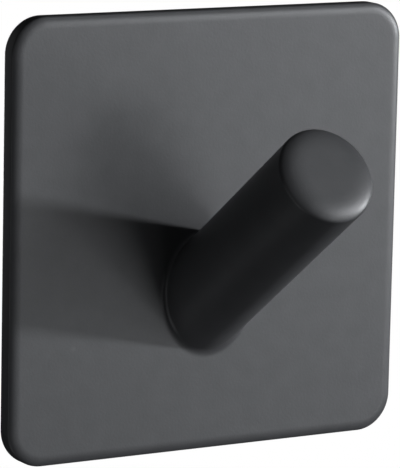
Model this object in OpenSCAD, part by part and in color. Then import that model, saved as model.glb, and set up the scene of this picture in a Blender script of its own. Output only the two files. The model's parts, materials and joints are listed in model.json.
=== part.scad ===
// Adhesive wall hook: a square plate of bent sheet with one round peg welded to it at a slant.
// A foam tape pad sits in the plate's recessed back and holds the hook to the wall.
// The origin is the centre of the tape's wall face, +Z is up and the front faces -Y. Millimetres.

/* [Plate] */
// Width of the plate, side to side
plate_w = 45; // [36:0.5:70]
// Height of the plate, bottom to top
plate_h = 45; // [36:0.5:70]
// Corner radius of the plate's outline
corner_r = 3.8; // [3:0.1:8]
// Width of the soft edge round the front, measured in from the plate's side
edge_w = 1.2; // [0.6:0.1:2.6]
// Depth of that edge, front to back
edge_d = 0.5; // [0.3:0.1:1]
// Inside radius of the fold between the front and the rim
fold_r = 0.3; // [0.1:0.1:0.6]
// Thickness of the sheet
sheet_t = 1; // [0.7:0.1:1.1]

/* [Peg] */
// Diameter of the round bar
peg_d = 10; // [8:0.5:14]
// Length of the peg along its axis, from the plate's face to the tip
peg_reach = 27.1; // [18:0.1:45]
// Angle of the peg above level, in degrees
peg_tilt = 35; // [0:1:45]
// Distance of the peg's foot below the middle of the plate
peg_drop = 6.2; // [0:0.1:9]
// Width of the soft edge round the tip's face, measured in from the bar's wall
tip_soft = 2.6; // [0.4:0.1:3.5]
// Length of that edge along the axis
tip_drop = 0.9; // [0.4:0.1:2.5]

/* [Welds] */
// Leg of the fillet weld round the peg's foot
weld_leg = 0.7; // [0.4:0.1:1.5]
// Diameter of the spigot on the peg's foot
spigot_d = 6; // [4:0.1:7]
// Gap between the spigot and its hole, all round
spigot_gap = 0.1; // [0.05:0.05:0.3]
// Width and depth of the bevel that takes the weld behind the plate
bevel_w = 0.6; // [0.3:0.1:0.6]

/* [Tape] */
// Thickness of the foam
foam_t = 1; // [0.6:0.1:2]
// Thickness of each coat of adhesive
adhesive_t = 0.1; // [0.05:0.05:0.2]
// How far the tape stands out behind the plate's rim
tape_proud = 0.2; // [0.1:0.1:0.4]
// Gap between the tape and the inside of the rim
tape_gap = 0.8; // [0.3:0.1:1.5]

/* [Hidden] */
$fn = 96;

// Colours: satin black coat, grey foam, pale adhesive
coat_colour = [0.16, 0.16, 0.165];
foam_colour = [0.42, 0.42, 0.43];
adhesive_colour = [0.86, 0.85, 0.8];

// Heights above the wall, with the hook lying on its back
rim_z = tape_proud;
foam_z = adhesive_t;
inner_coat_z = foam_z + foam_t;
floor_z = inner_coat_z + adhesive_t;
face_z = floor_z + sheet_t;

// The plate: depth of its rim, and the lengths of its straight sides
plate_depth = face_z - rim_z;
side_w = plate_w - 2 * corner_r;
side_h = plate_h - 2 * corner_r;

// The peg: its radius, and how far its slanted foot reaches back along its axis
peg_r = peg_d / 2;
foot_run = peg_r * tan(peg_tilt);
peg_axis = [0, sin(peg_tilt), cos(peg_tilt)];

// The spigot's hole, and how deep the spigot's root goes into the peg
hole_d = spigot_d + 2 * spigot_gap;
root_depth = sheet_t;

// The tape's outline follows the inside of the rim
tape_inset = sheet_t + tape_gap;
tape_w = plate_w - 2 * tape_inset;
tape_h = plate_h - 2 * tape_inset;
tape_r = corner_r - tape_inset;

// Extra length of a cut past the faces that it opens
overrun = 1;

// Steps round the fillet weld and across its hollow face
weld_steps = 96;
weld_rows = 6;
// The weld's flats lie against the bar instead of cutting into it
weld_r = peg_r / cos(180 / weld_steps);

// Pieces are drawn lying on the wall face, x across, y up the wall and z away from it
module stand_up() {
    rotate([90, 0, 0]) children();
}

module at_foot() {
    translate([0, -peg_drop, face_z]) children();
}

// Half section of a slab whose front edge is rounded, from its middle out to its side
// A squash under 1 makes the rounding a quarter of an oval, that much less deep than it is wide
module edge_section(reach, round_r, depth, squash = 1) {
    round_d = round_r * squash;
    square([reach, depth - round_d]);
    square([reach - round_r, depth]);
    translate([reach - round_r, depth - round_d]) scale([1, squash]) intersection() {
        circle(round_r);
        square(round_r);
    }
}

// Section of the bent sheet at the rim, one sheet thick on the front and on the rim
module rim_section() {
    difference() {
        edge_section(corner_r, edge_w, plate_depth, edge_d / edge_w);
        edge_section(corner_r - sheet_t, fold_r, plate_depth - sheet_t);
    }
}

// One straight side and the corner after it, which lie half a side out from the middle
module rim_quarter(out, along) {
    translate([out / 2, 0, 0])
        rotate([90, 0, 0])
            linear_extrude(height = along, center = true) rim_section();
    translate([out / 2, along / 2, 0])
        rotate_extrude(angle = 90) rim_section();
}

module wall_plate() {
    color(coat_colour) stand_up() difference() {
        union() {
            translate([0, 0, rim_z]) {
                rim_quarter(side_w, side_h);
                rotate([0, 0, 90]) rim_quarter(side_h, side_w);
                rotate([0, 0, 180]) rim_quarter(side_w, side_h);
                rotate([0, 0, 270]) rim_quarter(side_h, side_w);
            }
            translate([-side_w / 2, -side_h / 2, floor_z]) cube([side_w, side_h, sheet_t]);
        }
        translate([0, -peg_drop, floor_z - overrun]) cylinder(d = hole_d, h = sheet_t + 2 * overrun);
        translate([0, -peg_drop, floor_z])
            cylinder(d1 = hole_d + 2 * bevel_w, d2 = hole_d, h = bevel_w);
    }
}

// Half section of the bar, from behind the plate's face to its rounded tip
module bar_section() {
    back = foot_run + overrun;
    translate([0, -back]) edge_section(peg_r, tip_soft, peg_reach + back, tip_drop / tip_soft);
}

module peg() {
    cut = 2 * (peg_d + foot_run + overrun);
    color(coat_colour) stand_up() at_foot() {
        difference() {
            rotate([-peg_tilt, 0, 0]) rotate_extrude() bar_section();
            translate([-cut / 2, -cut / 2, -cut]) cube(cut);
        }
        translate([0, 0, -sheet_t]) cylinder(d = spigot_d, h = sheet_t + root_depth);
    }
}

// Foot line of the peg on the plate's face, an ellipse, and its outward direction in that face
function foot_point(a) = [weld_r * cos(a), weld_r * sin(a) / cos(peg_tilt), 0];
function foot_outward(a) =
    let (slope = [cos(a), sin(a) * cos(peg_tilt), 0])
    slope / norm(slope);

// Section of the weld at one step: the foot line's point, then a curve that leaves the plate's face
// along the face, one leg out, and meets the peg along its length, one leg up
function weld_section(a) = [
    foot_point(a),
    for (row = [0:weld_rows])
        let (s = row / weld_rows)
        foot_point(a) + weld_leg * (pow(1 - s, 2) * foot_outward(a) + pow(s, 2) * peg_axis),
];

module foot_weld() {
    ring = weld_rows + 2;
    points = [for (step = [0:weld_steps - 1]) each weld_section(360 * step / weld_steps)];
    faces = [
        for (step = [0:weld_steps - 1], k = [0:ring - 1])
            let (
                here = step * ring,
                next = (step + 1) % weld_steps * ring,
                k_next = (k + 1) % ring
            )
            each [
                [here + k, here + k_next, next + k_next],
                [here + k, next + k_next, next + k],
            ],
    ];
    color(coat_colour) stand_up() at_foot() polyhedron(points, faces);
}

// Fills the bevel round the spigot, flush with the floor of the recess
module spigot_weld() {
    section = [
        [spigot_d / 2, 0],
        [hole_d / 2 + bevel_w, 0],
        [hole_d / 2, bevel_w],
        [spigot_d / 2, bevel_w],
    ];
    color(coat_colour) stand_up()
        translate([0, -peg_drop, floor_z]) rotate_extrude() polygon(section);
}

module tape_outline() {
    square([tape_w - 2 * tape_r, tape_h], center = true);
    square([tape_w, tape_h - 2 * tape_r], center = true);
    for (x = [-1, 1], y = [-1, 1])
        translate([x * (tape_w / 2 - tape_r), y * (tape_h / 2 - tape_r)]) circle(tape_r);
}

module tape_layer(z, thickness) {
    stand_up() translate([0, 0, z]) linear_extrude(height = thickness) tape_outline();
}

module plate_adhesive() {
    color(adhesive_colour) tape_layer(inner_coat_z, adhesive_t);
}

module foam_core() {
    color(foam_colour) tape_layer(foam_z, foam_t);
}

module wall_adhesive() {
    color(adhesive_colour) tape_layer(0, adhesive_t);
}

wall_plate();
peg();
foot_weld();
spigot_weld();
plate_adhesive();
foam_core();
wall_adhesive();
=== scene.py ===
"""Looks of an adhesive wall hook: a bent-sheet plate, a slanted peg, its welds and a tape pad.

Everything is in metres in the part's own frame: +Z runs up the wall, +Y into the wall, the front
faces -Y and the tape's wall face is the plane y = 0. Surfaces are grids of points worked out as
whole arrays, ring after ring.
"""

import json
import logging
import math
from dataclasses import dataclass, field
from enum import Enum

import bpy
import numpy as np
from mathutils import Matrix, Quaternion, Vector


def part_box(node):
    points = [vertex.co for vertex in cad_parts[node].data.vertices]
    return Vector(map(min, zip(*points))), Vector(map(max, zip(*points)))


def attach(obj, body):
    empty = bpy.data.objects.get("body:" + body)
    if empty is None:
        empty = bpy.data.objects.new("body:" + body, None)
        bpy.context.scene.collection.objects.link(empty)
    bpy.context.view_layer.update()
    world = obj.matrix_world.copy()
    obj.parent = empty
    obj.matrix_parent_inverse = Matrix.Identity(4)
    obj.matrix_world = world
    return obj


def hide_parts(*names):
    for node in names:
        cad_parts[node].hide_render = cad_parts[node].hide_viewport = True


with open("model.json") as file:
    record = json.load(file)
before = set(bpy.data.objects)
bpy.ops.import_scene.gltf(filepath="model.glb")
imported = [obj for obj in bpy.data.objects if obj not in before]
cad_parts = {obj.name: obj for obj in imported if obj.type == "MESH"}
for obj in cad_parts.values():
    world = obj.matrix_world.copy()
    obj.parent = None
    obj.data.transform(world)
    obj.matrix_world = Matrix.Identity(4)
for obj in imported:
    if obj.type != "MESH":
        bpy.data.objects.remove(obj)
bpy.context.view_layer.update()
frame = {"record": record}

MM = 0.001
BODY = "root"
SHARP_ANGLE = math.radians(35)

log = logging.getLogger("wall_hook")


class Slot(Enum):
    """Material slots of the record."""

    COAT = "black_coat"
    FOAM = "foam"
    ADHESIVE = "adhesive"


class Ends(Enum):
    """How the first and last ring of a surface are closed."""

    LOOP = "the last ring joins the first"
    POINTS = "each end closes on the middle of its ring"


def linked(name: str, data: bpy.types.ID) -> bpy.types.Object:
    """Makes an object and puts it in the scene.

    Args:
        name: Name of the object.
        data: Its mesh, lamp or camera.

    Returns:
        The new object, at the origin.
    """
    made = bpy.data.objects.new(name, data)
    bpy.context.scene.collection.objects.link(made)
    return made


# Surfaces made of rings


def between(first: np.ndarray, last: np.ndarray, shares: np.ndarray) -> np.ndarray:
    """Rings on the way from one ring to another.

    Ring k is first + share k * (last - first), point by point.

    Args:
        first: Ring of shape (n, 3).
        last: Ring of shape (n, 3).
        shares: How far along each wanted ring lies, from 0 to 1.

    Returns:
        Rings of shape (len(shares), n, 3).
    """
    return first + np.asarray(shares)[:, None, None] * (last - first)


def arc(
    centre: tuple[float, float],
    radius: float | np.ndarray,
    start: float,
    end: float,
    steps: int,
) -> np.ndarray:
    """Points of an arc in a section's plane: centre + radius * (cos a, sin a).

    Args:
        centre: Middle of the arc.
        radius: Its radius, or its two half-widths if it is part of an oval.
        start: First angle in degrees.
        end: Last angle in degrees.
        steps: Number of steps between them.

    Returns:
        Points of shape (steps + 1, 2).
    """
    a = np.radians(np.linspace(start, end, steps + 1))
    return np.asarray(centre) + radius * np.stack([np.cos(a), np.sin(a)], axis=1)


def outward(points: np.ndarray, quads: np.ndarray) -> bool:
    """Whether a closed surface's faces point outwards.

    The volume under each triangle, a . (b x c) / 6, is summed over both halves of every quad, and a
    positive sum means that the faces point out.

    Args:
        points: Vertices of shape (n, 3).
        quads: Vertex numbers of shape (m, 4).

    Returns:
        True if the faces point outwards.
    """
    a, b, c, d = (points[quads[:, k]] for k in range(4))
    halves = np.einsum("ij,ij->i", a, np.cross(b, c)) + np.einsum("ij,ij->i", a, np.cross(c, d))
    return float(halves.sum()) > 0


def ring_surface(name: str, rings: np.ndarray, ends: Ends) -> bpy.types.Object:
    """A closed mesh from rings of points, joined by quads round and along.

    Args:
        name: Name of the piece.
        rings: Points of shape (rings, points in a ring, 3).
        ends: How the first and last ring are closed.

    Returns:
        The new object, at the origin, with smooth faces and sharp edges where faces turn sharply.
    """
    count, around, _ = rings.shape
    points = rings.reshape(-1, 3)
    last = count if ends is Ends.LOOP else count - 1
    low = np.arange(last)[:, None]
    high = (low + 1) % count
    here = np.arange(around)[None, :]
    there = (here + 1) % around
    corners = (low * around + here, low * around + there, high * around + there, high * around + here)
    quads = np.stack(corners, axis=-1).reshape(-1, 4)
    fans = np.empty((0, 3), dtype=int)
    if ends is Ends.POINTS:
        middles = rings[[0, -1]].mean(axis=1)
        first_corners = (len(points), there[0], here[0])
        first_fan = np.stack(np.broadcast_arrays(*first_corners), axis=-1)
        final = (count - 1) * around
        final_corners = (len(points) + 1, final + here[0], final + there[0])
        final_fan = np.stack(np.broadcast_arrays(*final_corners), axis=-1)
        points = np.concatenate([points, middles])
        fans = np.concatenate([first_fan, final_fan])
    if not outward(points - points.mean(axis=0), quads):
        quads = quads[:, ::-1]
        fans = fans[:, ::-1]
    mesh = bpy.data.meshes.new(name)
    mesh.from_pydata(points.tolist(), [], quads.tolist() + fans.tolist())
    mesh.polygons.foreach_set("use_smooth", np.ones(len(mesh.polygons), dtype=bool))
    mesh.set_sharp_from_angle(angle=SHARP_ANGLE)
    mesh.update()
    return linked(name, mesh)


@dataclass
class RoundedOutline:
    """Upright rectangle with round corners, which can be drawn smaller all round.

    Every point is a core point on the inner rectangle plus a length along an outward direction, and
    that length is the corner radius less the inset.
    """

    width: float
    height: float
    corner_r: float
    corner_steps: int = 24
    side_steps: int = 24
    core: np.ndarray = field(init=False)
    out: np.ndarray = field(init=False)

    def __post_init__(self) -> None:
        """Lays out the core points and outward directions, corner by corner."""
        turns = np.radians(np.linspace(0, 90, self.corner_steps + 1))
        signs = np.array([(1, 1), (-1, 1), (-1, -1), (1, -1)])
        centres = signs * (np.array([self.width, self.height]) / 2 - self.corner_r)
        along = np.arange(1, self.side_steps) / self.side_steps
        core, out = [], []
        for k in range(4):
            angles = turns + k * math.pi / 2
            fan = np.stack([np.cos(angles), np.sin(angles)], axis=1)
            side = centres[k] + along[:, None] * (centres[(k + 1) % 4] - centres[k])
            core += [np.repeat(centres[k : k + 1], len(fan), axis=0), side]
            out += [fan, np.repeat(fan[-1:], len(side), axis=0)]
        self.core = np.concatenate(core)
        self.out = np.concatenate(out)

    def rings(self, section: np.ndarray) -> np.ndarray:
        """Carries a section round the outline.

        Args:
            section: Points (inset from the outline, y), of shape (k, 2).

        Returns:
            Rings of shape (k, n, 3).
        """
        inset, y = section[:, 0, None, None], section[:, 1, None]
        flat = self.core + (self.corner_r - inset) * self.out
        return np.stack([flat[..., 0], np.broadcast_to(y, flat.shape[:2]), flat[..., 1]], axis=-1)


# Sizes


@dataclass
class HookSizes:
    """Sizes and places of the hook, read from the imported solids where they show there."""

    corner_r: float = 3.8 * MM
    edge_w: float = 1.2 * MM
    edge_d: float = 0.5 * MM
    fold_r: float = 0.3 * MM
    lip_r: float = 0.15 * MM
    tip_soft: float = 2.6 * MM
    tip_drop: float = 0.9 * MM
    spigot_gap: float = 0.1 * MM
    plate_w: float = field(init=False)
    plate_h: float = field(init=False)
    front_y: float = field(init=False)
    rim_y: float = field(init=False)
    floor_y: float = field(init=False)
    sheet_t: float = field(init=False)
    peg_r: float = field(init=False)
    tilt: float = field(init=False)
    foot_z: float = field(init=False)
    reach: float = field(init=False)
    weld_leg: float = field(init=False)
    bevel_w: float = field(init=False)
    hole_r: float = field(init=False)

    def __post_init__(self) -> None:
        """Works the sizes out from the boxes of the CAD nodes and the peg's mount."""
        plate_low, plate_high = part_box("wall_plate")
        self.plate_w = plate_high.x - plate_low.x
        self.plate_h = plate_high.z - plate_low.z
        self.front_y = plate_low.y
        self.rim_y = plate_high.y
        self.floor_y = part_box("plate_adhesive")[0].y
        self.sheet_t = self.floor_y - self.front_y
        mounts = {mount["name"]: mount for mount in frame["record"]["mounts"]}
        peg_mount = mounts["hang_peg"]
        self.peg_r = peg_mount["dims"]["r_mm"] * MM
        self.tilt = math.asin(peg_mount["axis"][2])
        seat_low, seat_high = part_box("spigot_weld")
        self.foot_z = (seat_low.z + seat_high.z) / 2
        self.bevel_w = seat_high.y - seat_low.y
        self.hole_r = (seat_high.x - seat_low.x) / 2 - self.bevel_w
        weld_low, weld_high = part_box("foot_weld")
        self.weld_leg = (weld_high.x - weld_low.x) / 2 - self.peg_r
        stretch = self.front_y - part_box("peg")[0].y
        across = (self.peg_r - self.tip_soft) * math.sin(self.tilt)
        bulge = math.hypot(self.tip_drop * math.cos(self.tilt), self.tip_soft * math.sin(self.tilt))
        self.reach = (stretch - across - bulge) / math.cos(self.tilt) + self.tip_drop

    @property
    def spigot_r(self) -> float:
        """Radius of the spigot on the peg's foot."""
        return self.hole_r - self.spigot_gap

    @property
    def foot(self) -> np.ndarray:
        """Middle of the peg's foot on the plate's face."""
        return np.array([0.0, self.front_y, self.foot_z])

    @property
    def axis(self) -> np.ndarray:
        """Direction of the peg, from its foot to its tip."""
        return np.array([0.0, -math.cos(self.tilt), math.sin(self.tilt)])

    @property
    def upper(self) -> np.ndarray:
        """Direction square to the peg, up and towards the wall."""
        return np.array([0.0, math.sin(self.tilt), math.cos(self.tilt)])


# Shader graphs


class Graph:
    """A node tree with short ways to add and join nodes."""

    # Numbers of the sockets that a Mix node uses for colours
    MIX_SHARE = 0
    MIX_FIRST = 6
    MIX_SECOND = 7
    MIX_RESULT = 2

    def __init__(self, tree: bpy.types.NodeTree) -> None:
        """Takes the tree that the nodes go into."""
        self.tree = tree

    def add(
        self,
        kind: str,
        inputs: dict[str | int, object] | None = None,
        **settings: object,
    ) -> bpy.types.Node:
        """Adds a node.

        Args:
            kind: Blender's name of the node type.
            inputs: Socket name or number, to a value or to another node's output socket.
            **settings: Properties of the node itself.

        Returns:
            The new node.
        """
        node = self.tree.nodes.new(kind)
        for key, value in settings.items():
            setattr(node, key, value)
        for key, value in (inputs or {}).items():
            if isinstance(value, bpy.types.NodeSocket):
                self.tree.links.new(value, node.inputs[key])
            else:
                node.inputs[key].default_value = value
        return node

    def math(self, operation: str, first: object, second: object) -> bpy.types.NodeSocket:
        """Adds a Math node and returns its result."""
        return self.add("ShaderNodeMath", {0: first, 1: second}, operation=operation).outputs[0]

    def mix(self, share: object, first: object, second: object) -> bpy.types.NodeSocket:
        """Adds a Mix node for colours and returns its result."""
        inputs = {self.MIX_SHARE: share, self.MIX_FIRST: first, self.MIX_SECOND: second}
        return self.add("ShaderNodeMix", inputs, data_type="RGBA").outputs[self.MIX_RESULT]


def fresh_graph(owner: bpy.types.Material | bpy.types.World) -> Graph:
    """Turns on the nodes of a material or world and empties its tree.

    Args:
        owner: The material or world.

    Returns:
        Its empty graph.
    """
    owner.use_nodes = True
    owner.node_tree.nodes.clear()
    return Graph(owner.node_tree)


class GrainGroup:
    """Shader group for a fine, even surface: a grain height, a soft mottle and sparse specks."""

    NAME = "fine_grain"
    GRAIN_DETAIL = 2.0
    MOTTLE_DETAIL = 3.0
    SPECK_EDGE = 0.45
    SPECK_CORE = 0.1

    @classmethod
    def tree(cls) -> bpy.types.NodeTree:
        """Returns the group, which is built the first time it is asked for."""
        found = bpy.data.node_groups.get(cls.NAME)
        return found or cls._build()

    @classmethod
    def _build(cls) -> bpy.types.NodeTree:
        """Builds the group.

        Height is fine noise, Mottle is coarse noise about 0.5, and Specks is 1 inside the few cells of
        a fine cell pattern whose random value is near 1, fading to 0 from the core to the edge.

        Returns:
            The new node group.
        """
        tree = bpy.data.node_groups.new(cls.NAME, "ShaderNodeTree")
        sides = tree.interface
        sides.new_socket("Vector", in_out="INPUT", socket_type="NodeSocketVector")
        for label in ("Grain Scale", "Blotch Scale", "Cell Scale", "Speck Share"):
            sides.new_socket(label, in_out="INPUT", socket_type="NodeSocketFloat")
        for label in ("Height", "Mottle", "Specks"):
            sides.new_socket(label, in_out="OUTPUT", socket_type="NodeSocketFloat")
        graph = Graph(tree)
        given = graph.add("NodeGroupInput").outputs
        place = given["Vector"]
        fine = {"Vector": place, "Scale": given["Grain Scale"], "Detail": cls.GRAIN_DETAIL}
        grain = graph.add("ShaderNodeTexNoise", fine)
        coarse = {"Vector": place, "Scale": given["Blotch Scale"], "Detail": cls.MOTTLE_DETAIL}
        mottle = graph.add("ShaderNodeTexNoise", coarse)
        cells = graph.add("ShaderNodeTexVoronoi", {"Vector": place, "Scale": given["Cell Scale"]})
        pick = graph.add("ShaderNodeSeparateColor", {"Color": cells.outputs["Color"]})
        floor = graph.math("SUBTRACT", 1.0, given["Speck Share"])
        chosen = graph.math("GREATER_THAN", pick.outputs["Red"], floor)
        near = graph.add(
            "ShaderNodeMapRange",
            {"Value": cells.outputs["Distance"], "From Min": cls.SPECK_EDGE, "From Max": cls.SPECK_CORE},
            interpolation_type="SMOOTHSTEP",
        )
        specks = graph.math("MULTIPLY", chosen, near.outputs["Result"])
        results = {"Height": grain.outputs["Fac"], "Mottle": mottle.outputs["Fac"], "Specks": specks}
        graph.add("NodeGroupOutput", results)
        return tree


@dataclass(frozen=True)
class Finish:
    """A finish with fine grain: colour that mottles between two tones, roughness and bump.

    The sizes of its patterns are the lengths of one grain, blotch or cell, in metres.
    """

    name: str
    slot: Slot
    dark: tuple[float, float, float]
    light: tuple[float, float, float]
    speck: tuple[float, float, float]
    rough_low: float
    rough_high: float
    grain: float
    grain_height: float
    blotch: float
    cell: float
    speck_share: float
    specular: float = 0.5
    alpha: float = 1.0

    def material(self) -> bpy.types.Material:
        """Returns the finish's material, which is built the first time it is asked for."""
        return bpy.data.materials.get(self.name) or self._build()

    def _build(self) -> bpy.types.Material:
        """Builds the material.

        Returns:
            The new material: a Principled shader with mottled colour and roughness, and grain bump.
        """
        made = bpy.data.materials.new(self.name)
        graph = fresh_graph(made)
        place = graph.add("ShaderNodeTexCoord").outputs["Object"]
        scales = {
            "Vector": place,
            "Grain Scale": 1 / self.grain,
            "Blotch Scale": 1 / self.blotch,
            "Cell Scale": 1 / self.cell,
            "Speck Share": self.speck_share,
        }
        grain = graph.add("ShaderNodeGroup", scales, node_tree=GrainGroup.tree()).outputs
        tones = graph.mix(grain["Mottle"], (*self.dark, 1.0), (*self.light, 1.0))
        colour = graph.mix(grain["Specks"], tones, (*self.speck, 1.0))
        spread = {"Value": grain["Mottle"], "To Min": self.rough_low, "To Max": self.rough_high}
        rough = graph.add("ShaderNodeMapRange", spread).outputs["Result"]
        bump = graph.add("ShaderNodeBump", {"Height": grain["Height"], "Distance": self.grain_height})
        shader = graph.add(
            "ShaderNodeBsdfPrincipled",
            {
                "Base Color": colour,
                "Roughness": rough,
                "Normal": bump.outputs["Normal"],
                "Specular IOR Level": self.specular,
                "Alpha": self.alpha,
            },
        )
        graph.add("ShaderNodeOutputMaterial", {"Surface": shader.outputs["BSDF"]})
        return made

    def dress(self, piece: bpy.types.Object) -> None:
        """Gives a piece this finish.

        Args:
            piece: The piece to dress.
        """
        piece.data.materials.clear()
        piece.data.materials.append(self.material())


BLACK_COAT = Finish(
    name="satin_black_coat",
    slot=Slot.COAT,
    dark=(0.055, 0.056, 0.0585),
    light=(0.075, 0.076, 0.0785),
    speck=(0.082, 0.083, 0.0855),
    rough_low=0.40,
    rough_high=0.44,
    grain=0.28 * MM,
    grain_height=0.008 * MM,
    blotch=2.2 * MM,
    cell=1.1 * MM,
    speck_share=0.004,
)
GREY_FOAM = Finish(
    name="grey_tape_foam",
    slot=Slot.FOAM,
    dark=(0.11, 0.11, 0.113),
    light=(0.17, 0.17, 0.175),
    speck=(0.05, 0.05, 0.052),
    rough_low=0.85,
    rough_high=0.95,
    grain=0.12 * MM,
    grain_height=0.03 * MM,
    blotch=1.5 * MM,
    cell=0.25 * MM,
    speck_share=0.25,
    specular=0.3,
)
CLEAR_ADHESIVE = Finish(
    name="clear_tacky_adhesive",
    slot=Slot.ADHESIVE,
    dark=(0.30, 0.30, 0.29),
    light=(0.42, 0.42, 0.40),
    speck=(0.43, 0.43, 0.41),
    rough_low=0.18,
    rough_high=0.34,
    grain=0.6 * MM,
    grain_height=0.01 * MM,
    blotch=7.0 * MM,
    cell=0.9 * MM,
    speck_share=0.03,
    alpha=0.45,
)


# Pieces


def seat(piece: bpy.types.Object, node: str, finish: Finish) -> None:
    """Dresses a piece, puts it on the body and lets it stand for its CAD node.

    Args:
        piece: The new piece, in place.
        node: The CAD node that it stands for.
        finish: Its finish.
    """
    finish.dress(piece)
    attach(piece, BODY)
    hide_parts(node)
    log.info("%s: %d faces", piece.name, len(piece.data.polygons))


@dataclass
class WallPlate:
    """Plate of bent sheet with a hole and a bevel for the peg's spigot."""

    sizes: HookSizes
    outline: RoundedOutline = field(init=False)
    edge_steps: int = 28
    lip_steps: int = 5
    # Places of the rings across a face, the last so near the rim that the face stays flat to it
    face_shares: tuple[float, ...] = (0.0, 0.15, 0.4, 0.7, 0.9, 0.997)

    def __post_init__(self) -> None:
        """Lays out the plate's outline."""
        s = self.sizes
        self.outline = RoundedOutline(s.plate_w, s.plate_h, s.corner_r)

    def circle(self, radius: float, y: float) -> np.ndarray:
        """A ring round the spigot's axis, each point in line with the outline's own point.

        Args:
            radius: Radius of the ring.
            y: Its depth.

        Returns:
            A ring of shape (n, 3).
        """
        edge = self.outline.rings(np.zeros((1, 2)))[0]
        angle = np.arctan2(edge[:, 2] - self.sizes.foot_z, edge[:, 0])
        x = radius * np.cos(angle)
        z = self.sizes.foot_z + radius * np.sin(angle)
        return np.stack([x, np.full_like(x, y), z], axis=1)

    def rim_section(self) -> np.ndarray:
        """Section of the bent sheet, from the front face over the rim to the recess floor.

        Arcs of the front's oval edge, the lip's two small rounds and the fold's inside, joined by
        straight stretches, as points (inset, y).

        Returns:
            Points of shape (k, 2).
        """
        s = self.sizes
        oval = np.array([s.edge_w, s.edge_d])
        lip_y = s.rim_y - s.lip_r
        return np.concatenate([
            arc((s.edge_w, s.front_y + s.edge_d), oval, -90, -180, self.edge_steps),
            arc((s.lip_r, lip_y), s.lip_r, 180, 90, self.lip_steps),
            arc((s.sheet_t - s.lip_r, lip_y), s.lip_r, 90, 0, self.lip_steps),
            arc((s.sheet_t + s.fold_r, s.floor_y + s.fold_r), s.fold_r, 180, 270, self.lip_steps),
        ])

    def rings(self) -> np.ndarray:
        """Rings of the whole plate, from the hole over the front, the rim and the recess back to the hole.

        Returns:
            Rings of shape (k, n, 3).
        """
        s = self.sizes
        rim = self.outline.rings(self.rim_section())
        shares = np.array(self.face_shares)
        bevel = self.circle(s.hole_r + s.bevel_w, s.floor_y)
        throat = self.circle(s.hole_r, s.floor_y - s.bevel_w)
        face = between(self.circle(s.hole_r, s.front_y), rim[0], shares)
        floor = between(bevel, rim[-1], shares)[::-1]
        return np.concatenate([face, rim, floor, throat[None]])

    def build(self) -> None:
        """Makes the plate and seats it."""
        seat(ring_surface("plate_sheet", self.rings(), Ends.LOOP), "wall_plate", BLACK_COAT)


@dataclass
class Peg:
    """Round bar with a rounded tip, a slanted foot and a spigot."""

    sizes: HookSizes
    around: int = 192
    tip_steps: int = 32
    # Places of the rings across the tip's flat and down the wall, close together next to the soft edge
    tip_shares: tuple[float, ...] = (0.1, 0.4, 0.7, 0.9, 0.99)
    wall_shares: tuple[float, ...] = (0.004, 0.1, 0.3, 0.5, 0.7, 0.9, 1.0)

    @property
    def turn(self) -> np.ndarray:
        """Angles round the peg."""
        return np.linspace(0, 2 * math.pi, self.around, endpoint=False)

    def rings_at(self, radius: np.ndarray, height: np.ndarray) -> np.ndarray:
        """Rings round the peg's axis: foot + radius * (cos u * X + sin u * upper) + height * axis.

        Args:
            radius: Radii of the rings, of shape (k,).
            height: Heights along the axis, of shape (k,) or, one for each angle, (k, n).

        Returns:
            Rings of shape (k, n, 3).
        """
        s = self.sizes
        across = np.cos(self.turn)[:, None] * np.array([1.0, 0.0, 0.0])
        across = across + np.sin(self.turn)[:, None] * s.upper
        level = height if np.ndim(height) == 2 else np.asarray(height)[:, None]
        return s.foot + np.asarray(radius)[:, None, None] * across + level[..., None] * s.axis

    def foot_height(self) -> np.ndarray:
        """Height along the axis at which the bar's wall meets the plate: r * sin u * tan(tilt)."""
        return self.sizes.peg_r * np.sin(self.turn) * math.tan(self.sizes.tilt)

    def spigot_ring(self, radius: float, y: float) -> np.ndarray:
        """A ring round the spigot's axis, which is square to the plate.

        Args:
            radius: Radius of the ring.
            y: Its depth.

        Returns:
            A ring of shape (n, 3).
        """
        x = radius * np.cos(self.turn)
        z = self.sizes.foot_z + radius * np.sin(self.turn)
        return np.stack([x, np.full_like(x, y), z], axis=1)

    def rings(self) -> np.ndarray:
        """Rings from the middle of the tip down the wall and over the foot to the spigot's end.

        Returns:
            Rings of shape (k, n, 3).
        """
        s = self.sizes
        flat_r = s.peg_r - s.tip_soft
        shoulder = s.reach - s.tip_drop
        flat = self.rings_at(flat_r * np.array(self.tip_shares), np.full(len(self.tip_shares), s.reach))
        oval = np.array([s.tip_soft, s.tip_drop])
        edge = arc((flat_r, shoulder), oval, 90, 0, self.tip_steps)
        rounded = self.rings_at(edge[:, 0], edge[:, 1])
        shares = np.array(self.wall_shares)[:, None]
        heights = shoulder + shares * (self.foot_height() - shoulder)
        wall = self.rings_at(np.full(len(shares), s.peg_r), heights)
        spigot = [self.spigot_ring(s.spigot_r, y)[None] for y in (s.front_y, s.floor_y)]
        return np.concatenate([flat, rounded, wall, *spigot])

    def build(self) -> None:
        """Makes the peg and seats it."""
        seat(ring_surface("peg_bar", self.rings(), Ends.POINTS), "peg", BLACK_COAT)


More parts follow.
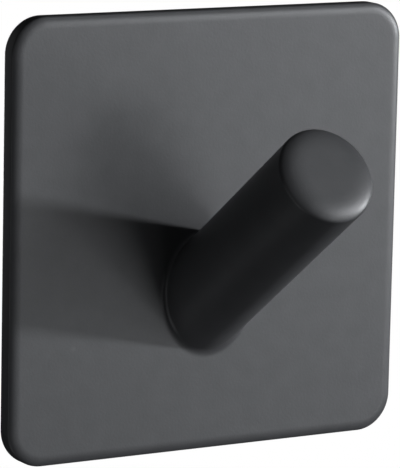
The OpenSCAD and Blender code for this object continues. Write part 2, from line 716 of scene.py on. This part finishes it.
@dataclass
class Welds:
    """Fillet weld round the peg's foot, and the weld ring behind the plate."""

    sizes: HookSizes
    peg: Peg
    rows: int = 20

    def fillet_rings(self) -> np.ndarray:
        """Rings of the fillet, from the foot line over its hollow face.

        With P on the foot line, N outward in the plate's face, A along the peg and leg w, the face is
        P + w * ((1 - t)^2 * N + t^2 * A) for t from 0, on the plate, to 1, on the peg.

        Returns:
            Rings of shape (rows + 2, n, 3).
        """
        s = self.sizes
        line = self.peg.rings_at(np.array([s.peg_r]), self.peg.foot_height()[None])[0]
        slope = np.stack([np.cos(self.peg.turn), np.sin(self.peg.turn) * math.cos(s.tilt)], axis=1)
        slope /= np.linalg.norm(slope, axis=1, keepdims=True)
        out = np.stack([slope[:, 0], np.zeros(len(slope)), slope[:, 1]], axis=1)
        t = np.linspace(0, 1, self.rows + 1)[:, None, None]
        face = line + s.weld_leg * ((1 - t) ** 2 * out + t**2 * s.axis)
        return np.concatenate([line[None], face])

    def spigot_rings(self) -> np.ndarray:
        """Rings of the weld in the bevel: its flush back, its slope and its inside.

        Returns:
            Rings of shape (4, n, 3).
        """
        s = self.sizes
        throat_y = s.floor_y - s.bevel_w
        section = [
            (s.spigot_r, s.floor_y),
            (s.hole_r + s.bevel_w, s.floor_y),
            (s.hole_r, throat_y),
            (s.spigot_r, throat_y),
        ]
        return np.stack([self.peg.spigot_ring(radius, y) for radius, y in section])

    def build(self) -> None:
        """Makes both welds and seats them."""
        seat(ring_surface("foot_fillet", self.fillet_rings(), Ends.LOOP), "foot_weld", BLACK_COAT)
        seat(ring_surface("spigot_ring", self.spigot_rings(), Ends.LOOP), "spigot_weld", BLACK_COAT)


@dataclass
class TapeLayer:
    """One layer of the tape pad: a thin slab with round corners and sides that draw in a little."""

    sizes: HookSizes
    name: str
    node: str
    finish: Finish
    edge_r: float
    waist: float
    relief: float = 0.0
    steps: int = 6

    def rings(self) -> np.ndarray:
        """Rings over the slab, from the middle of one face round its side to the middle of the other.

        The side's section is a round edge, a stretch that draws in by waist * sin(pi * v) and a second
        round edge. A relief draws both faces in, so that they don't lie in their neighbours' faces.

        Returns:
            Rings of shape (k, n, 3).
        """
        low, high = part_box(self.node)
        s = self.sizes
        width, height = high.x - low.x, high.z - low.z
        back, front = high.y - self.relief, low.y + self.relief
        corner_r = s.corner_r - (s.plate_w - width) / 2
        v = np.linspace(0, 1, self.steps + 1)
        side_y = front + self.edge_r + v * (back - front - 2 * self.edge_r)
        side = np.stack([self.waist * np.sin(math.pi * v), side_y], axis=1)
        section = np.concatenate([
            np.array([[2 * self.edge_r, front]]),
            arc((self.edge_r, front + self.edge_r), self.edge_r, -90, -180, self.steps),
            side[1:-1],
            arc((self.edge_r, back - self.edge_r), self.edge_r, 180, 90, self.steps),
            np.array([[2 * self.edge_r, back]]),
        ])
        return RoundedOutline(width, height, corner_r).rings(section)

    def build(self) -> bpy.types.Object:
        """Makes the layer and seats it.

        Returns:
            The new piece.
        """
        piece = ring_surface(self.name, self.rings(), Ends.POINTS)
        seat(piece, self.node, self.finish)
        return piece


@dataclass
class TapePad:
    """Double-sided tape: foam with a coat of adhesive on each face."""

    sizes: HookSizes
    foam_edge: float = 0.06 * MM
    foam_waist: float = 0.12 * MM
    foam_relief: float = 0.01 * MM
    coat_edge: float = 0.03 * MM
    fill: float = 1.0

    def build(self) -> None:
        """Makes the three layers."""
        coats = {"inner_adhesive": "plate_adhesive", "outer_adhesive": "wall_adhesive"}
        for name, node in coats.items():
            TapeLayer(self.sizes, name, node, CLEAR_ADHESIVE, self.coat_edge, 0.0).build()
        shape = (self.foam_edge, self.foam_waist, self.foam_relief)
        foam = TapeLayer(self.sizes, "tape_foam", "foam_core", GREY_FOAM, *shape)
        foam.build()


# Camera, light and stage


def towards(azimuth: float, elevation: float) -> Vector:
    """Direction from the hook to a place round it.

    Args:
        azimuth: Degrees to the right of straight in front.
        elevation: Degrees above level.

    Returns:
        A vector of length 1.
    """
    a, e = math.radians(azimuth), math.radians(elevation)
    return Vector((math.sin(a) * math.cos(e), -math.cos(a) * math.cos(e), math.sin(e)))


@dataclass(frozen=True)
class PhotoCamera:
    """Camera at the photograph's place, found by fitting the plate's outline and the peg."""

    azimuth: float = -30.44
    elevation: float = 9.94
    roll: float = 1.21
    distance: float = 360.8 * MM
    target: tuple[float, float, float] = (0.04 * MM, -0.2 * MM, -0.57 * MM)
    lens: float = 273.4

    def build(self) -> None:
        """Makes the camera and gives it to the scene."""
        data = bpy.data.cameras.new("photo_camera")
        data.lens = self.lens
        camera = linked("photo_camera", data)
        back = towards(self.azimuth, self.elevation)
        level = Vector((0, 0, 1)).cross(back).normalized()
        upright = back.cross(level)
        turn = math.radians(self.roll)
        right = math.cos(turn) * level + math.sin(turn) * upright
        up = math.cos(turn) * upright - math.sin(turn) * level
        place = Matrix((right, up, back)).transposed().to_4x4()
        place.translation = Vector(self.target) + self.distance * back
        camera.matrix_world = place
        bpy.context.scene.camera = camera


@dataclass(frozen=True)
class Softbox:
    """A rectangular lamp that faces the hook.

    Its light is what it throws on the hook, in watts per square metre, square to the lamp. Its colour
    is the slightly cool white of daylight.
    """

    name: str
    azimuth: float
    elevation: float
    width: float
    height: float
    light: float
    distance: float = 0.40
    roll: float = 0.0
    colour: tuple[float, float, float] = (0.965, 0.985, 1.02)

    def build(self) -> None:
        """Makes the lamp. A small flat lamp of power P throws P / (pi * distance^2) straight ahead."""
        data = bpy.data.lights.new(self.name, "AREA")
        data.shape = "RECTANGLE"
        data.size = self.width
        data.size_y = self.height
        data.energy = math.pi * self.distance**2 * self.light
        data.color = self.colour
        lamp = linked(self.name, data)
        away = towards(self.azimuth, self.elevation)
        spin = Quaternion((0.0, 0.0, 1.0), math.radians(self.roll))
        lamp.rotation_euler = ((-away).to_track_quat("-Z", "Y") @ spin).to_euler()
        lamp.location = self.distance * away


@dataclass(frozen=True)
class DarkTent:
    """A dark round tent over the hook and its lamps.

    The camera doesn't see it. It keeps the studio's white out of the satin coat, as dark cards do.
    """

    radius: float = 0.45
    shade: float = 0.02
    step: float = 5.0

    def build(self) -> None:
        """Makes the tent: a sphere of points by azimuth and elevation."""
        turns, climbs = round(360 / self.step), round(180 / self.step)
        azimuth = np.radians(np.arange(turns) * self.step - 180)
        elevation = np.radians(np.arange(climbs + 1) * self.step - 90)
        a, e = np.meshgrid(azimuth, elevation)
        points = np.stack([np.sin(a) * np.cos(e), -np.cos(a) * np.cos(e), np.sin(e)], axis=-1)
        low = np.arange(climbs)[:, None] * turns
        here = np.arange(turns)[None, :]
        there = (here + 1) % turns
        quads = np.stack([low + here, low + there, low + turns + there, low + turns + here], axis=-1)
        mesh = bpy.data.meshes.new("dark_tent")
        mesh.from_pydata((self.radius * points).reshape(-1, 3).tolist(), [], quads.reshape(-1, 4).tolist())
        made = bpy.data.materials.new("dark_cloth")
        graph = fresh_graph(made)
        matt = graph.add("ShaderNodeBsdfDiffuse", {"Color": (self.shade, self.shade, self.shade, 1.0)})
        graph.add("ShaderNodeOutputMaterial", {"Surface": matt.outputs[0]})
        mesh.materials.append(made)
        tent = linked("dark_tent", mesh)
        tent.visible_camera = False


# Turn of the two key lamps, which lie along one slanted line
KEY_ROLL = -36.0


@dataclass(frozen=True)
class Studio:
    """White surroundings, a pale floor, the tent and the lamps."""

    floor_z: float = -0.5
    floor_r: float = 0.9
    floor_sides: int = 96
    floor_colour: tuple[float, float, float] = (0.8, 0.8, 0.8)
    floor_glow: float = 0.7
    tent: DarkTent = DarkTent()
    boxes: tuple[Softbox, ...] = (
        Softbox("key", 64.5, 5.4, 0.03, 0.022, 2.02, roll=KEY_ROLL),
        Softbox("key_high", 48.0, 16.7, 0.03, 0.022, 0.72, roll=KEY_ROLL),
        Softbox("front_high", 34.0, 18.0, 0.07, 0.07, 0.46),
        Softbox("front_mid", 30.7, 8.0, 0.14, 0.07, 0.25),
        Softbox("front", 24.0, -2.0, 0.07, 0.07, 0.17),
        Softbox("front_right", 44.0, -12.0, 0.07, 0.07, 0.24),
        Softbox("front_low", 24.0, -22.0, 0.07, 0.07, 0.12),
        Softbox("front_left", 4.0, -12.0, 0.07, 0.07, 0.07),
        Softbox("left", -84.0, -8.0, 0.14, 0.14, 0.13),
        Softbox("left_low", -85.0, -45.0, 0.14, 0.14, 0.19),
        Softbox("right", 105.0, -5.0, 0.14, 0.14, 0.11),
        Softbox("top", 42.0, 55.0, 0.14, 0.14, 0.17),
        Softbox("rear", 180.0, 0.0, 0.04, 0.04, 1.60, distance=0.10),
        Softbox("rear_left", -155.0, 8.0, 0.3, 0.3, 0.07),
    )

    @staticmethod
    def seen(graph: Graph) -> bpy.types.NodeSocket:
        """Mask of rays that show surroundings: camera, glossy and transmission rays.

        Args:
            graph: The graph that the mask is for.

        Returns:
            A socket that is 1 for those rays and 0 for others.
        """
        path = graph.add("ShaderNodeLightPath").outputs
        shiny = graph.math("MAXIMUM", path["Is Glossy Ray"], path["Is Transmission Ray"])
        return graph.math("MAXIMUM", path["Is Camera Ray"], shiny)

    def surround(self) -> None:
        """Makes a plain white world. The tent keeps its light off the hook."""
        world = bpy.data.worlds.new("white_studio")
        bpy.context.scene.world = world
        graph = fresh_graph(world)
        glow = graph.add("ShaderNodeBackground", {"Color": (1.0, 1.0, 1.0, 1.0), "Strength": 1.0})
        graph.add("ShaderNodeOutputWorld", {"Surface": glow.outputs[0]})

    def floor(self) -> None:
        """Makes the pale floor: a disc that glows for the camera and still takes a shadow."""
        made = bpy.data.materials.new("pale_floor")
        graph = fresh_graph(made)
        matt = graph.add("ShaderNodeBsdfDiffuse", {"Color": (*self.floor_colour, 1.0)})
        glow = graph.add("ShaderNodeEmission", {"Strength": 1.0})
        share = graph.math("MULTIPLY", self.seen(graph), self.floor_glow)
        both = graph.add("ShaderNodeMixShader", {0: share, 1: matt.outputs[0], 2: glow.outputs[0]})
        graph.add("ShaderNodeOutputMaterial", {"Surface": both.outputs[0]})
        around = np.linspace(0, 2 * math.pi, self.floor_sides, endpoint=False)
        level = np.full_like(around, self.floor_z)
        rim = np.stack([self.floor_r * np.cos(around), self.floor_r * np.sin(around), level], axis=1)
        mesh = bpy.data.meshes.new("studio_floor")
        mesh.from_pydata(rim.tolist(), [], [list(range(len(rim)))])
        mesh.materials.append(made)
        disc = linked("studio_floor", mesh)

    def build(self) -> None:
        """Makes the world, the floor, the tent and the lamps, and sets plain colour handling."""
        bpy.context.scene.view_settings.view_transform = "Standard"
        self.surround()
        self.floor()
        self.tent.build()
        for box in self.boxes:
            box.build()


def main() -> None:
    """Builds the hook's pieces, then the camera and the studio."""
    logging.basicConfig(level=logging.INFO, format="%(name)s: %(message)s")
    sizes = HookSizes()
    peg = Peg(sizes)
    WallPlate(sizes).build()
    peg.build()
    Welds(sizes, peg).build()
    TapePad(sizes).build()
    PhotoCamera().build()
    Studio().build()


if __name__ == "__main__":
    main()
